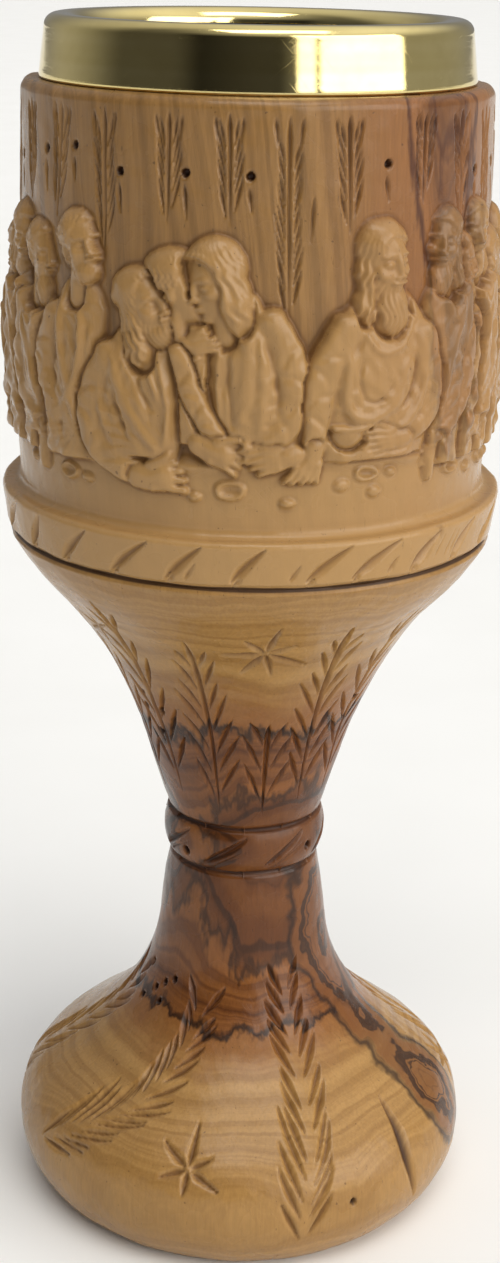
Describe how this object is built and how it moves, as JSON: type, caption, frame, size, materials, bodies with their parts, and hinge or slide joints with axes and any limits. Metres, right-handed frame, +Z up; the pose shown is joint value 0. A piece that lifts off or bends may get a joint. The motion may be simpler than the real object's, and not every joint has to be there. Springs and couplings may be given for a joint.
{
  "type": "communion chalice",
  "caption": "Turned and carved olive-wood chalice with a belted barrel bowl, flared stem, domed foot and a lift-out gold-coloured metal cup.",
  "frame": {"origin": "centre of the foot's flat underside", "axes": "+Z up along the turning axis; -Y is the front, where the frieze's middle group sits; +X is to the right seen from the front"},
  "size_m": [0.0806, 0.0806, 0.2],
  "materials": {
    "olive_wood_bowl": "satin wax over fine-grained olive wood",
    "olive_wood_stem": "satin wax over olive wood with dark heartwood",
    "gilt_metal": "polished gold plate on sheet metal"
  },
  "bodies": {
    "goblet": {"stem_and_foot": "olive_wood_stem", "carved_bowl": "olive_wood_bowl"},
    "liner": {"cup_liner": "gilt_metal"}
  },
  "joints": [
    {"name": "liner_lift", "type": "slide", "parent": "goblet", "child": "liner", "axis": [0, 0, 1], "range_m": [0, 0.075]}
  ]
}
